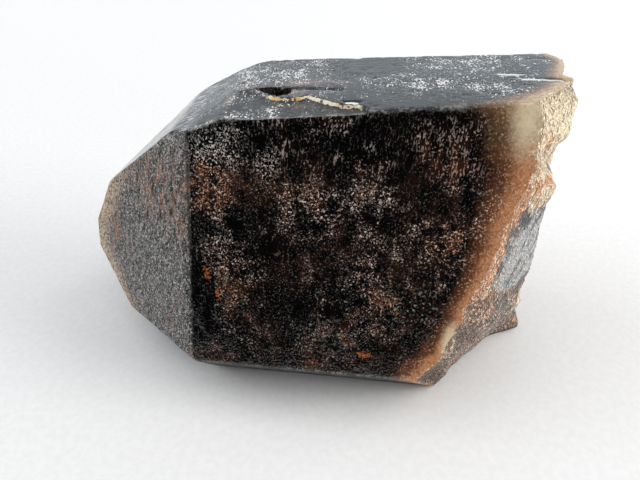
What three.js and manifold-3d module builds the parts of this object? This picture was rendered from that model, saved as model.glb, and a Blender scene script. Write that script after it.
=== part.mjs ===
// Morion quartz crystal, lying on a prism face.
//
// One solid: a six-sided tapering prism closed at one end by rhombohedral faces, one of them
// far larger than the rest, and broken off obliquely at the other end.
// Millimetres. +X runs along the crystal's c axis from the tip to the broken end, +Z is up,
// and the side with the large faces looks towards -Y.
import * as THREE from 'three';
import { ConvexGeometry } from 'three/addons/geometries/ConvexGeometry.js';
import { mergeVertices } from 'three/addons/utils/BufferGeometryUtils.js';
import Module from 'manifold-3d';

const wasm = await Module();
wasm.setup();

// ---------------------------------------------------------------------------------------
// Driving dimensions. While the crystal is worked out, x = 0 is the ridge at the tip and
// the c axis runs at AXIS_Y, AXIS_Z over the surface that the base rests on.
const AXIS_Y = 23.1;
const AXIS_Z = 20;
const RHOMB_TILT = 51.8; // degrees from the c axis to the normal of a rhombohedral face
const RHOMB_SLOPE = 1 / Math.tan(THREE.MathUtils.degToRad(RHOMB_TILT));

// Prism faces. turn: where the face looks, in degrees about the c axis from +Y towards +Z.
// reach: its distance from the axis. taper: how much that grows for each mm along x.
// shoulder: the x at which its rhombohedral face takes over.
const TOP = { turn: 90, reach: 16.3, taper: 0.09, shoulder: 25.4 };
const UPPER_FRONT = { turn: 150, reach: 15, taper: 0, shoulder: 25.3 };
const LOWER_FRONT = { turn: 210, reach: 25.8, taper: 0, shoulder: 0 };
const UPPER_BACK = { turn: 30, reach: 23.3, taper: 0, shoulder: 30.7 };
const LOWER_BACK = { turn: -30, reach: 18.7, taper: 0, shoulder: 17.7 };
const BASE = { turn: -90, reach: AXIS_Z, taper: 0, shoulder: 13.5 };
const PRISM = [TOP, UPPER_FRONT, LOWER_FRONT, UPPER_BACK, LOWER_BACK, BASE];

// Faces that break the plain form: the tip's underside is steep near the prism and blunt
// near the tip, the large face's shoulder is bevelled, and the top dips to the tip and loses
// its back corner. Each has the given reach at x = from.
const EXTRA_FACES = [
  { turn: 210, reach: 25.8, taper: 0.56, from: 25.7 },
  { turn: 210, reach: 16.9, taper: 1.28, from: 9.5 },
  { turn: 150, reach: 15, taper: 0.12, from: 29 },
  { turn: 90, reach: 19.1, taper: 0.35, from: 30.6 },
  { turn: 62, reach: 24.6, taper: 0.38, from: 33.2 },
];

// The oblique break at the +X end. In plan it runs back and outward at 45 degrees from the
// upper front face, and BREAK_START gives x - y of that run against height. Behind the run
// the break faces +X, and BREAK_END gives its x against height.
const BREAK_START = [[0, 58], [5, 59.4], [10, 60.6], [15, 60.2], [20, 59.4], [28, 57.1],
  [34, 55.2], [38, 53.4], [41, 51.2], [43, 48.6]];
const BREAK_END = [[0, 82.4], [5, 80.3], [11, 78.4], [18, 77.3], [27, 75.4], [35, 73.8], [43, 74.4]];
const BREAK_BACK_LEAN = 0.35; // mm of x lost for each mm towards the back, past LEAN_START
const LEAN_START = 31;
// Lumps and hollows on the break: y, z, radius and height, along x.
const LUMPS = [
  { y: 20.2, z: 0.5, radius: 2, height: 3.6 },
  { y: 5, z: 1, radius: 2.5, height: 1.8 },
  { y: 8, z: 12, radius: 4, height: 1.1 },
  { y: 21, z: 39, radius: 3.4, height: 0.7 },
  { y: 24.5, z: 43.5, radius: 2.4, height: 0.9 },
  { y: 35, z: 42, radius: 4, height: 2.6 },
  { y: 18.8, z: 35.2, radius: 2, height: -2.2 },
  { y: 20.4, z: 31.8, radius: 2.6, height: -0.2 },
  { y: 31, z: 24, radius: 7, height: -2.4 },
  { y: 38, z: 11, radius: 6, height: 1.8 },
  { y: 28, z: 12, radius: 5, height: -1.6 },
];
// One conchoidal patch of the break is nearly smooth.
const SMOOTH_PATCH = { y: 15.6, z: 22.5, radius: 7.5 };
// Hackle: faceted relief in two sizes, cell width and height in mm.
const HACKLE = [{ cell: 4.6, height: 1.1 }, { cell: 2.1, height: 0.45 }];
const BREAK_GRID = 1; // mm between the points of the broken surface
const BREAK_WIDTH = 56; // the broken surface is worked out over a window wider than the crystal
const BREAK_HEIGHT = 52;
const BEYOND_BREAK = 90; // past every point of the break

// Growth ledges and clefts, cut into a prism face. Outlines are [x, v] in the face, with v
// measured across it from the foot of the axis, towards a falling turn: on the top, backwards.
const TOP_TERRACE = {
  face: TOP, depth: 0.7,
  outline: [[29, -12], [28.6, -3], [28.9, 2.2], [31.6, 2.9], [33.8, 1.3], [35.6, -0.1], [37.7, -0.7],
    [39.2, -0.6], [40.4, 0], [43.2, -2.2], [45.3, -3.4], [47.2, -3.8], [48.5, -4.6], [48.1, -6],
    [47.2, -7.6], [47.2, -12]],
};
const TOP_CLEFT = {
  face: TOP, depth: 2.4,
  outline: [[31.4, 3.5], [35.3, 3.4], [38.9, 2.8], [45.1, 1.9], [44.6, 1.5], [40.3, 2], [37.9, 1.7],
    [37.4, 0.8], [36.3, 0.5], [35.4, 0.8], [34.2, 1.8], [33.3, 2.7]],
};
const TOP_GASH = {
  face: TOP, depth: 0.6,
  outline: [[65.6, 4.9], [70.2, 4.4], [70.1, 3.9], [65.8, 4.4]],
};
const END_SPLIT = {
  face: TOP, depth: 1,
  outline: [[70.3, 3.1], [80, -0.4], [80, 0.3], [70.2, 3.6]],
};
const BACK_LEDGES = [
  { face: UPPER_BACK, depth: 0.7, outline: [[43, -5.2], [44, 12], [58, 12], [60, -1], [57, -6]] },
  { face: UPPER_BACK, depth: 0.5, outline: [[66, 3], [67, -4], [90, -4.5], [90, 2]] },
  { face: LOWER_BACK, depth: 0.8, outline: [[33, -20], [34, 4], [31, 7], [46, 8], [49, 5], [47, -20]] },
  { face: LOWER_BACK, depth: 0.6, outline: [[57, -6], [55.6, 8.4], [70, 7], [72, -3]] },
];

const CUT_CLEAR = 6; // mm that a cutter stands proud of its face

const MORION = new THREE.MeshStandardMaterial({ color: 0x1c1714, roughness: 0.35, metalness: 0 });

// ---------------------------------------------------------------------------------------
// Solids

function toSolid(geometry) {
  const bare = geometry.index ? geometry.toNonIndexed() : geometry.clone();
  bare.deleteAttribute('normal');
  bare.deleteAttribute('uv');
  const merged = mergeVertices(bare, 1e-4);
  return new wasm.Manifold(new wasm.Mesh({
    numProp: 3,
    vertProperties: new Float32Array(merged.attributes.position.array),
    triVerts: new Uint32Array(merged.index.array),
  }));
}

function toGeometry(solid) {
  const mesh = solid.getMesh();
  const geometry = new THREE.BufferGeometry();
  geometry.setAttribute('position', new THREE.BufferAttribute(mesh.vertProperties, 3));
  geometry.setIndex(new THREE.BufferAttribute(mesh.triVerts, 1));
  geometry.computeVertexNormals();
  return geometry;
}

// The half-space inside a face: its reach from the axis is reach + slope * (x - from).
function facePlane(turn, reach, slope, from) {
  const angle = THREE.MathUtils.degToRad(turn);
  const normal = new THREE.Vector3(-slope, Math.cos(angle), Math.sin(angle));
  const offset = reach - slope * from + normal.y * AXIS_Y + normal.z * AXIS_Z;
  return new THREE.Plane(normal, -offset).normalize();
}

// A convex form from its faces: a corner is where three faces meet inside all the others.
function convexForm(planes) {
  const tolerance = 1e-6;
  const corners = [];
  for (let i = 0; i < planes.length; i += 1) {
    for (let j = i + 1; j < planes.length; j += 1) {
      for (let k = j + 1; k < planes.length; k += 1) {
        const [a, b, c] = [planes[i], planes[j], planes[k]];
        const bc = b.normal.clone().cross(c.normal);
        const volume = a.normal.dot(bc);
        if (Math.abs(volume) > tolerance) {
          const corner = bc.multiplyScalar(-a.constant)
            .addScaledVector(c.normal.clone().cross(a.normal), -b.constant)
            .addScaledVector(a.normal.clone().cross(b.normal), -c.constant)
            .divideScalar(volume);
          if (planes.every((plane) => plane.distanceToPoint(corner) < tolerance)) {
            corners.push(corner);
          }
        }
      }
    }
  }
  return new ConvexGeometry(corners);
}

function crystalForm() {
  const planes = PRISM.map((face) => facePlane(face.turn, face.reach, face.taper, 0));
  for (const face of PRISM.filter((each) => each.shoulder > 0)) {
    const reach = face.reach + face.taper * face.shoulder;
    planes.push(facePlane(face.turn, reach, RHOMB_SLOPE, face.shoulder));
  }
  for (const face of EXTRA_FACES) {
    planes.push(facePlane(face.turn, face.reach, face.taper, face.from));
  }
  planes.push(new THREE.Plane(new THREE.Vector3(1, 0, 0), -BEYOND_BREAK));
  return toSolid(convexForm(planes));
}

// A prismatic cutter that stands on the outline, depth below the face.
function faceCut({ face, outline, depth }) {
  const shape = new THREE.Shape(outline.map(([x, v]) => new THREE.Vector2(x, v)));
  const cutter = new THREE.ExtrudeGeometry(shape, { depth: depth + CUT_CLEAR, bevelEnabled: false });
  const outward = facePlane(face.turn, face.reach, face.taper, 0).normal;
  const across = outward.clone().cross(new THREE.Vector3(1, 0, 0)).normalize();
  const along = across.clone().cross(outward).normalize();
  const foot = new THREE.Vector3(0, AXIS_Y, AXIS_Z).addScaledVector(
    new THREE.Vector3(0, outward.y, outward.z).normalize(), face.reach);
  cutter.translate(0, 0, -depth);
  cutter.applyMatrix4(new THREE.Matrix4().makeBasis(along, across, outward).setPosition(foot));
  return toSolid(cutter);
}

// ---------------------------------------------------------------------------------------
// The broken end

// Height of a profile given as [height, value] pairs, linear between them.
function profileAt(profile, height) {
  const last = profile.length - 1;
  let i = 0;
  while (i < last - 1 && height > profile[i + 1][0]) i += 1;
  const [[h0, v0], [h1, v1]] = [profile[i], profile[i + 1]];
  return THREE.MathUtils.lerp(v0, v1, THREE.MathUtils.clamp((height - h0) / (h1 - h0), 0, 1));
}

// A repeatable number between -1 and 1 for a lattice point.
function latticeValue(i, j) {
  const wave = Math.sin(i * 127.1 + j * 311.7) * 43758.5453;
  return 2 * (wave - Math.floor(wave)) - 1;
}

// Faceted relief: lattice values joined by flat triangles.
function facets(y, z, cell) {
  const [i, j] = [Math.floor(y / cell), Math.floor(z / cell)];
  const [u, v] = [y / cell - i, z / cell - j];
  const far = latticeValue(i + 1, j + 1);
  const side = latticeValue(i + 1, j);
  const above = latticeValue(i, j + 1);
  if (u + v > 1) return far + (above - far) * (1 - u) + (side - far) * (1 - v);
  const near = latticeValue(i, j);
  return near + (side - near) * u + (above - near) * v;
}

// x of the broken surface over a point of the cross section.
function breakAt(y, z) {
  const run = y + profileAt(BREAK_START, z);
  const end = profileAt(BREAK_END, z) - BREAK_BACK_LEAN * Math.max(0, y - LEAN_START);
  let x = Math.min(run, end);
  for (const lump of LUMPS) {
    const distance = Math.hypot(y - lump.y, z - lump.z) / lump.radius;
    x += lump.height * Math.exp(-distance * distance);
  }
  const patch = Math.hypot(y - SMOOTH_PATCH.y, z - SMOOTH_PATCH.z) / SMOOTH_PATCH.radius;
  const roughness = 1 - 0.9 * Math.exp(-(patch ** 4));
  for (const { cell, height } of HACKLE) x += roughness * height * facets(y, z, cell);
  return x;
}

// What the break took away: a block whose -X side is the broken surface.
function breakBlock() {
  const block = new THREE.BoxGeometry(1, BREAK_WIDTH, BREAK_HEIGHT,
    1, BREAK_WIDTH / BREAK_GRID, BREAK_HEIGHT / BREAK_GRID);
  block.translate(0, AXIS_Y, AXIS_Z);
  const position = block.attributes.position;
  for (let i = 0; i < position.count; i += 1) {
    const [y, z] = [position.getY(i), position.getZ(i)];
    position.setX(i, position.getX(i) > 0 ? BEYOND_BREAK + 1 : breakAt(y, z));
  }
  return toSolid(block);
}

// ---------------------------------------------------------------------------------------
// The crystal

function crystal() {
  let solid = crystalForm();
  for (const cut of [TOP_TERRACE, TOP_CLEFT, TOP_GASH, END_SPLIT, ...BACK_LEDGES]) {
    solid = solid.subtract(faceCut(cut));
  }
  solid = solid.subtract(breakBlock());
  const geometry = toGeometry(solid);
  geometry.computeBoundingBox();
  const middle = geometry.boundingBox.getCenter(new THREE.Vector3());
  geometry.translate(-middle.x, -middle.y, -geometry.boundingBox.min.z);
  const mesh = new THREE.Mesh(geometry, MORION);
  mesh.name = 'crystal';
  return mesh;
}

const part = new THREE.Group();
part.add(crystal());

export default part;
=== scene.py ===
"""Morion quartz: a black smoky quartz crystal lying on a prism face, with its other end broken off.

The crystal is one closed surface. A ring of points round the six prism faces is carried along
the c axis from the tip to the broken end, and the break is a height field over the last ring.
Lengths in the tables are millimetres in the crystal's own growth frame: x = 0 is near the ridge
at the tip, and the c axis runs at AXIS_Y, AXIS_Z over the surface that the crystal lies on.
"""

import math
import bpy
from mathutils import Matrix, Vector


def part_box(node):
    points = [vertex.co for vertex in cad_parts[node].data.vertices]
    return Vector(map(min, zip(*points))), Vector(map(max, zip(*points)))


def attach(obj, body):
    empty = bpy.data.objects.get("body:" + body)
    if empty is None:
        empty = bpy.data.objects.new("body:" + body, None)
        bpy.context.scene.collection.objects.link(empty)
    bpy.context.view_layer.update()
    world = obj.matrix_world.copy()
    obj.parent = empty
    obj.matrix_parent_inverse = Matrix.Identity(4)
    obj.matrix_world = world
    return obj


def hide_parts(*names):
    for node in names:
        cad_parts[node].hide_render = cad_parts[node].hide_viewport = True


bl_info = {
    "name": "Morion Quartz",
    "version": (1, 0, 0),
    "blender": (4, 5, 0),
    "location": "3D View > Sidebar > Morion",
    "description": "Builds a black quartz crystal with etched faces and an iron-stained break",
    "category": "Add Mesh",
}

from collections import namedtuple
from types import SimpleNamespace

import bmesh
import bpy
import numpy as np
from bpy.props import FloatProperty, FloatVectorProperty, PointerProperty
from mathutils import Euler, Vector

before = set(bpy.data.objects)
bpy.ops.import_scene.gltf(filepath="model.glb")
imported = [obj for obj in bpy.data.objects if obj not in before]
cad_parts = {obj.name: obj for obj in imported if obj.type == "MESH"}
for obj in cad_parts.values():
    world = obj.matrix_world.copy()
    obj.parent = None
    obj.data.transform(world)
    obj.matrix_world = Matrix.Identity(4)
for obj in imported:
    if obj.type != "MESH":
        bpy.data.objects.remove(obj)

MM = 0.001
BOX_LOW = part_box("crystal")[0]
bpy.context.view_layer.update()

# ------------------------------------------------------------------------------------------
# Driving dimensions of the crystal

AXIS_Y, AXIS_Z = 23.1, 20.0
RHOMB_TILT = 51.8  # degrees from the c axis to the normal of a rhombohedral face
RHOMB_SLOPE = 1 / math.tan(math.radians(RHOMB_TILT))

# turn: where a face looks, in degrees about the c axis from +Y towards +Z. reach: its distance
# from the axis. taper: how much that grows for each mm along x. shoulder: the x at which its
# rhombohedral face takes over. columns: mesh points across it.
Prism = namedtuple("Prism", "turn reach taper shoulder columns")
BASE = Prism(-90, AXIS_Z, 0.0, 13.5, 46)
LOWER_BACK = Prism(-30, 18.7, 0.0, 17.7, 34)
UPPER_BACK = Prism(30, 23.3, 0.0, 30.7, 42)
TOP = Prism(90, 16.3, 0.09, 25.4, 78)
UPPER_FRONT = Prism(150, 15.0, 0.0, 25.3, 118)
LOWER_FRONT = Prism(210, 25.8, 0.0, None, 22)
PRISM = (BASE, LOWER_BACK, UPPER_BACK, TOP, UPPER_FRONT, LOWER_FRONT)

# Planes that break the plain form, each with its reach at x = start.
Plane = namedtuple("Plane", "turn reach slope start")
EXTRA_PLANES = (
    Plane(210, 25.8, 0.56, 25.7),
    Plane(210, 16.9, 1.28, 9.5),
    Plane(150, 15.0, 0.12, 29.0),
    Plane(90, 19.1, 0.35, 30.6),
)
BACK_CORNER = Plane(62, 24.6, 0.38, 33.2)

# Where the front edge and the tip's ridge lie, which place the growth frame in the model.
FRONT_Y = AXIS_Y - (UPPER_FRONT.reach + LOWER_FRONT.reach) / math.sqrt(3)
RIDGE_X = (
    UPPER_FRONT.shoulder + LOWER_BACK.shoulder
    - (UPPER_FRONT.reach + LOWER_BACK.reach) / RHOMB_SLOPE
) / 2

# The break: x - y of its oblique front run and x of its end, each against height.
BREAK_START = ((0, 58.0), (5, 59.4), (10, 60.6), (15, 60.2), (20, 59.4), (28, 57.1), (34, 55.2),
               (38, 53.4), (41, 51.2), (43, 48.6))
BREAK_END = ((0, 82.4), (5, 80.3), (11, 78.4), (18, 77.3), (27, 75.4), (35, 73.8), (43, 74.4))
BACK_LEAN, LEAN_START = 0.35, 31.0  # the end leans back by this much, past this y
Lump = namedtuple("Lump", "y z radius height")
LUMPS = (
    Lump(20.2, 0.5, 2.0, 3.6), Lump(5, 1, 2.5, 1.8), Lump(8, 12, 4, 1.1), Lump(21, 39, 3.4, 0.7),
    Lump(24.5, 43.5, 2.4, 0.9), Lump(35, 42, 4, 2.6), Lump(18.8, 35.2, 2, -2.2),
    Lump(20.4, 31.8, 2.6, -0.2), Lump(31, 24, 7, -2.4), Lump(38, 11, 6, 1.8), Lump(28, 12, 5, -1.6),
)
SMOOTH_PATCH = Lump(15.6, 22.5, 7.5, 0.9)  # height: the share of the hackle that it loses
COARSE_HACKLE = ((4.6, 1.1), (2.1, 0.45))  # cell width and height of the large facets
FINE_HACKLE = ((1.15, 0.2), (0.62, 0.1))
HACKLE_SLANT = (0.3, -0.2)  # slopes of the fine facets' rows against those of the large ones
HACKLE_ON_PATCH, HACKLE_GRAIN = 0.4, 0.6  # share of the fine hackle left on the patch; its noise
RIB_SPACING, RIB_HEIGHT, RIB_TURN = 0.85, 0.05, 62  # ribs of the conchoidal patch

# Recesses in a face. Outlines are (x, v), v across the face towards a falling turn. A recess
# grows to its full depth between the two x of its fade.
Recess = namedtuple("Recess", "face depth outline fade", defaults=((-9, -8),))
TOP_TERRACE = Recess(TOP, 0.5, (
    (26, -12), (26, -3), (28.9, 2.2), (31.6, 2.9), (33.8, 1.3), (35.6, -0.1), (37.7, -0.7),
    (39.2, -0.6), (40.4, 0), (43.2, -2.2), (45.3, -3.4), (47.2, -3.8), (48.5, -4.6), (48.1, -6),
    (47.2, -7.6), (47.2, -12)), (27, 34))
TOP_CLEFT = Recess(TOP, 2.4, (
    (32.6, 3.3), (35.3, 3.2), (37.4, 2.9), (37.8, 1.9), (37.3, 0.9), (36.3, 0.6), (35.4, 0.9),
    (34.2, 1.8), (33.3, 2.7)))
END_SPLIT = Recess(TOP, 0.35, ((70.3, 2.7), (80, 1.1), (80, 1.7), (70.2, 3.1)))
# BRIGHT_QUAD: a chip's side, painted white as a highlight where it shines.
BRIGHT_QUAD = ((45.5, -2.4), (47.2, -2.6), (47.3, -3.5), (45.4, -3.3))  # a chip's shining side
BACK_LEDGES = (
    Recess(UPPER_BACK, 0.7, ((43, -5.2), (44, 12), (58, 12), (60, -1), (57, -6))),
    Recess(UPPER_BACK, 0.5, ((66, 3), (67, -4), (90, -4.5), (90, 2))),
    Recess(LOWER_BACK, 0.8, ((33, -20), (34, 4), (31, 7), (46, 8), (49, 5), (47, -20))),
    Recess(LOWER_BACK, 0.6, ((57, -6), (55.6, 8.4), (70, 7), (72, -3))),
)
RECESSES = (TOP_TERRACE, TOP_CLEFT, END_SPLIT, *BACK_LEDGES)
WALL = 0.45  # mm over which a recess's wall goes down
FAR = 9.0  # mm, stands for a gap where no path is near
LINE_REACH, OVERRUN = 1.5, 3  # mm within which a line is felt, and how sharply it ends

# Lines along x in the top, as (x, v) paths: cracks, painted black as shade, and fresh splits,
# painted white as a highlight.
CRACKS = (
    ((31.6, 3.3), (33.4, 3.3), (35.3, 3.2), (38.9, 2.7), (41.7, 2.3), (45.1, 1.8)),
    ((45.2, -2.3), (46.3, -2.3), (47.5, -2.6)),
)
SPLITS = (
    ((65.8, 5.5), (67.8, 5.0), (70.3, 4.2)),
    ((68.3, 3.2), (71.0, 2.8), (73.6, 2.3)),
)
# STEP: a step across the front edge, painted black as shade.
STEP = ((46.8, -8.0), (48.1, -5.8), (48.8, -4.6), (49.0, -3.8))  # a dark step across the front edge
CRACK_DEPTH, CRACK_WIDTH = 0.25, 0.22
CRACK_SKIN = 1.0  # mm below the top's plane that its cracks may cut

# Grooves across the upper front face, just past its shoulder: x, width, depth, z from, z to.
Groove = namedtuple("Groove", "x width depth low high")
GROOVES = (
    Groove(26.2, 0.5, 0.16, 21, 33),
    Groove(28.3, 0.45, 0.12, 20, 31),
    Groove(25.2, 0.3, 0.1, 12, 29),
)
GROOVE_FADE, GROOVES_BEFORE = 1.5, AXIS_Y - 4

# The skin's noises: cell in mm and seed.
WAVES, RIPPLES = (8.0, 1), (3.5, 2)
GROWTH, GROWTH_AREAS = (0.95, 3), (9.0, 4)
PITS, PIT_AREAS = (0.9, 5), (6.0, 6)
WEAR, NICKS = (2.2, 11), (1.3, 12)
BREAK_SEED, RIB_WAVES, RIB_WAVINESS = 31, (3.0, 40), 0.5
RIPPLE_SHARE = 0.35  # of the waviness
PIT_LEVEL, PIT_SPREAD, PIT_CONTRAST = 0.25, 0.6, 1.5  # where pits begin, and how their areas fade
NICK_LEVEL, NICK_WEAR, UNEVEN_WEAR = 0.45, 2.2, 0.7  # where nicks begin, and shares of the wear
GROWTH_STRETCH = 16  # growth lines are this much longer across the c axis than wide
GROWTH_START, GROWTH_FADE = 24.0, 3  # the prism's growth lines begin here, over this many mm
LEAST_WEAR, TIP_WEAR = 0.03, 0.35  # mm, and the share of the wear that is left at the tip
TIP_LENGTH = 5  # mm over which the wear comes to its full size
CORNER_SHORTFALL = 0.12  # how much shorter than 1 the averaged normal is on a worn edge
NEWTON_STEPS, MOST_EXPONENT = 4, 60

# Mesh
TIP_X = RIDGE_X + 0.2
FAN_X = 44.0  # from here on the stations fan out towards the oblique break
STATIONS = ((TIP_X, 3.0, 14), (3.0, 24.0, 54), (24.0, 30.0, 22), (30.0, FAN_X, 46))
FAN_STATIONS = 80
CAP_ROWS = 70
CAP_MIDDLE = (21.0, 19.0)
CORNER_CROWDING = 0.45
RING_START, RING_REPEATS, RING_PACE = 66.0, 14, 0.65  # the search for the ring at the break
WELD_DISTANCE, SHORTEST_EDGE = 4e-5, 1e-6  # metres
SHARP_ANGLE = 38
TINY = 1e-6


# ------------------------------------------------------------------------------------------
# Noise

LATTICE_PRIMES, SEED_PRIME = (73856093, 19349663, 83492791), 40503001
MIXERS = ((15, 739982445), (12, 695872825))
WORD = 0xFFFFFFFF  # the numbers are kept to 32 bits


def hashed(cells, seed):
    """A repeatable number between -1 and 1 for each lattice cell: its three whole numbers and the
    seed are multiplied by large primes, joined by exclusive or, and mixed."""
    mixed = seed * SEED_PRIME
    for axis, prime in enumerate(LATTICE_PRIMES):
        mixed = mixed ^ (cells[..., axis] * prime)
    mixed = mixed & WORD
    for shift, mixer in MIXERS:
        mixed = ((mixed ^ (mixed >> shift)) * mixer) & WORD
    return (mixed >> 8 & 0xFFFF) / 32767.5 - 1


def noise(points, cell, seed):
    """Smooth noise between -1 and 1: the values at the eight corners of each point's lattice
    cell, blended by the quintic 6t^5 - 15t^4 + 10t^3 along each axis."""
    scaled = points / cell
    corner = np.floor(scaled).astype(np.int64)
    part = scaled - corner
    part = part**3 * (part * (part * 6 - 15) + 10)
    total = np.zeros(points.shape[:-1])
    for index in range(8):
        offset = np.array([index & 1, index >> 1 & 1, index >> 2 & 1])
        weight = np.where(offset, part, 1 - part).prod(axis=-1)
        total += weight * hashed(corner + offset, seed)
    return total


def smooth(value):
    """3t^2 - 2t^3 of the value held between 0 and 1."""
    t = np.clip(value, 0, 1)
    return t * t * (3 - 2 * t)


def bump(x, middle, radius):
    """A round hill: exp(-(d / radius)^2)."""
    return np.exp(-((x - middle) / radius) ** 2)


# ------------------------------------------------------------------------------------------
# The crystal's plane faces

def heading(turn):
    """Unit vector (y, z) of a face that looks along the turn."""
    return np.array([math.cos(math.radians(turn)), math.sin(math.radians(turn))])


def planes_of(face):
    """The planes that share a prism face's turn: the face, its rhombohedral face and extras."""
    own = [Plane(face.turn, face.reach, face.taper, 0.0)]
    if face.shoulder is not None:
        reach = face.reach + face.taper * face.shoulder
        own.append(Plane(face.turn, reach, RHOMB_SLOPE, face.shoulder))
    return own + [plane for plane in EXTRA_PLANES if plane.turn == face.turn]


def reach_of(face, x):
    """Distance of a face from the axis at x: the least reach + slope (x - start) of its planes."""
    return np.min([p.reach + p.slope * (x - p.start) for p in planes_of(face)], axis=0)


def furthest(normal, levels):
    """How far the section reaches along a normal: the greatest dot product with those crossings
    of two sides that lie inside all the sides."""
    best = np.full(levels[0].shape, -np.inf)
    normals = [heading(face.turn) for face in PRISM]
    for a in range(len(PRISM)):
        for b in range(a + 1, len(PRISM)):
            cross = normals[a][0] * normals[b][1] - normals[a][1] * normals[b][0]
            if abs(cross) < TINY:
                continue
            y = (levels[a] * normals[b][1] - levels[b] * normals[a][1]) / cross
            z = (levels[b] * normals[a][0] - levels[a] * normals[b][0]) / cross
            inside = np.ones(y.shape, bool)
            for n, level in zip(normals, levels):
                inside &= n[0] * y + n[1] * z <= level + TINY
            best = np.where(inside, np.maximum(best, normal[0] * y + normal[1] * z), best)
    return best


def section_points(sides, shares, x):
    """(y, z) on the section's outline at x: on side i, at a share of the way between the two
    points where its neighbours cross it. A side that is cut away shrinks to a corner."""
    y, z = np.empty_like(x), np.empty_like(x)
    for index, face in enumerate(PRISM):
        columns = sides == index
        here = x[:, columns]
        levels = [reach_of(each, here) for each in PRISM]
        normal = heading(face.turn)
        along = np.array([-normal[1], normal[0]])
        level = np.minimum(levels[index], furthest(normal, levels))
        low, high = np.full(here.shape, -np.inf), np.full(here.shape, np.inf)
        for other, reach in zip(PRISM, levels):
            across = heading(other.turn) @ along
            if abs(across) > TINY:
                crossing = (reach - level * (heading(other.turn) @ normal)) / across
                if across > 0:
                    high = np.minimum(high, crossing)
                else:
                    low = np.maximum(low, crossing)
        place = low + (high - low) * shares[columns]
        y[:, columns] = AXIS_Y + level * normal[0] + place * along[0]
        z[:, columns] = AXIS_Z + level * normal[1] + place * along[1]
    return y, z


def worn_height(x, y, z, wear):
    """Height outside the worn form, wear * log(sum(exp(height / wear))) over the heights outside
    its planes, and the slopes of that height along y and z."""
    total, grad_y, grad_z = 0.0, 0.0, 0.0
    for plane in [plane for face in PRISM for plane in planes_of(face)] + [BACK_CORNER]:
        normal = heading(plane.turn)
        height = normal[0] * (y - AXIS_Y) + normal[1] * (z - AXIS_Z)
        height = height - plane.reach - plane.slope * (x - plane.start)
        weight = np.exp(np.clip(height / wear, -MOST_EXPONENT, MOST_EXPONENT))
        total = total + weight
        grad_y = grad_y + weight * normal[0]
        grad_z = grad_z + weight * normal[1]
    return wear * np.log(total), grad_y / total, grad_z / total


def wear_inwards(x, y, z, wear):
    """Rounds the edges by Newton steps, move = height / slope^2, onto the worn form. Returns y, z
    and the outward slopes there."""
    for _ in range(NEWTON_STEPS):
        height, grad_y, grad_z = worn_height(x, y, z, wear)
        move = height / (grad_y**2 + grad_z**2)
        y, z = y - move * grad_y, z - move * grad_z
    _, grad_y, grad_z = worn_height(x, y, z, wear)
    return y, z, grad_y, grad_z


# ------------------------------------------------------------------------------------------
# The break

WAVE_ALONG, WAVE_UP, WAVE_STEEPNESS = 127.1, 311.7, 43758.5453


def facet_value(i, j):
    """A repeatable number between -1 and 1 for a lattice point: the fraction of a steep sine."""
    wave = np.sin(i * WAVE_ALONG + j * WAVE_UP) * WAVE_STEEPNESS
    return 2 * (wave - np.floor(wave)) - 1


def facets(y, z, cell):
    """Faceted relief: lattice values joined by two flat triangles in each square."""
    i, j = np.floor(y / cell), np.floor(z / cell)
    u, v = y / cell - i, z / cell - j
    near, far = facet_value(i, j), facet_value(i + 1, j + 1)
    side, above = facet_value(i + 1, j), facet_value(i, j + 1)
    lower = near + (side - near) * u + (above - near) * v
    upper = far + (above - far) * (1 - u) + (side - far) * (1 - v)
    return np.where(u + v > 1, upper, lower)


def smooth_patch(y, z):
    """1 in the conchoidal patch and 0 outside it: exp(-(d / radius)^4)."""
    distance = np.hypot(y - SMOOTH_PATCH.y, z - SMOOTH_PATCH.z) / SMOOTH_PATCH.radius
    return np.exp(-(distance**4))


def hackle(y, z):
    """The large facets of the break, weaker in the smooth patch."""
    calm = 1 - SMOOTH_PATCH.height * smooth_patch(y, z)
    return calm * sum(height * facets(y, z, cell) for cell, height in COARSE_HACKLE)


def break_at(y, z):
    """x of the break over a point of the section: the lesser of the oblique run y + start(z) and
    the end, with round lumps added, then facets in four sizes and the ribs of the smooth patch."""
    run = y + np.interp(z, *zip(*BREAK_START))
    end = np.interp(z, *zip(*BREAK_END)) - BACK_LEAN * np.maximum(0, y - LEAN_START)
    x = np.minimum(run, end)
    for lump in LUMPS:
        x = x + lump.height * bump(np.hypot(y - lump.y, z - lump.z), 0, lump.radius)
    patch = smooth_patch(y, z)
    x = x + hackle(y, z)
    points = np.stack([x, y, z], axis=-1)
    share = 1 - (1 - HACKLE_ON_PATCH) * patch
    slanted_y, slanted_z = y + HACKLE_SLANT[0] * z, z + HACKLE_SLANT[1] * y
    for seed, (cell, height) in enumerate(FINE_HACKLE, BREAK_SEED):
        x = x + share * height * facets(slanted_y, slanted_z, cell)
        x = x + share * height * HACKLE_GRAIN * noise(points, cell, seed)
    turn = math.radians(RIB_TURN)
    across = y * math.cos(turn) + z * math.sin(turn) + RIB_WAVINESS * noise(points, *RIB_WAVES)
    return x + patch * RIB_HEIGHT * np.sin(across * math.tau / RIB_SPACING)


# ------------------------------------------------------------------------------------------
# Relief of the plane faces

def path_gap(path, x, v, closed):
    """Distance from (x, v) to a path: the least distance to its straight pieces. A closed path
    gives a negative distance inside, where a ray crosses it an odd number of times."""
    points = [np.array(point, float) for point in path]
    nearest = np.full(x.shape, np.inf)
    inside = np.zeros(x.shape, bool)
    pairs = zip(points, points[1:] + points[:1]) if closed else zip(points, points[1:])
    for start, end in pairs:
        edge = end - start
        share = ((x - start[0]) * edge[0] + (v - start[1]) * edge[1]) / (edge @ edge)
        share = np.clip(share, 0, 1)
        gap = np.hypot(x - start[0] - share * edge[0], v - start[1] - share * edge[1])
        nearest = np.minimum(nearest, gap)
        if closed and start[1] != end[1]:
            crossing = start[0] + (v - start[1]) * edge[0] / edge[1]
            inside ^= ((start[1] > v) != (end[1] > v)) & (x < crossing)
    return np.where(inside, -nearest, nearest)


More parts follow.
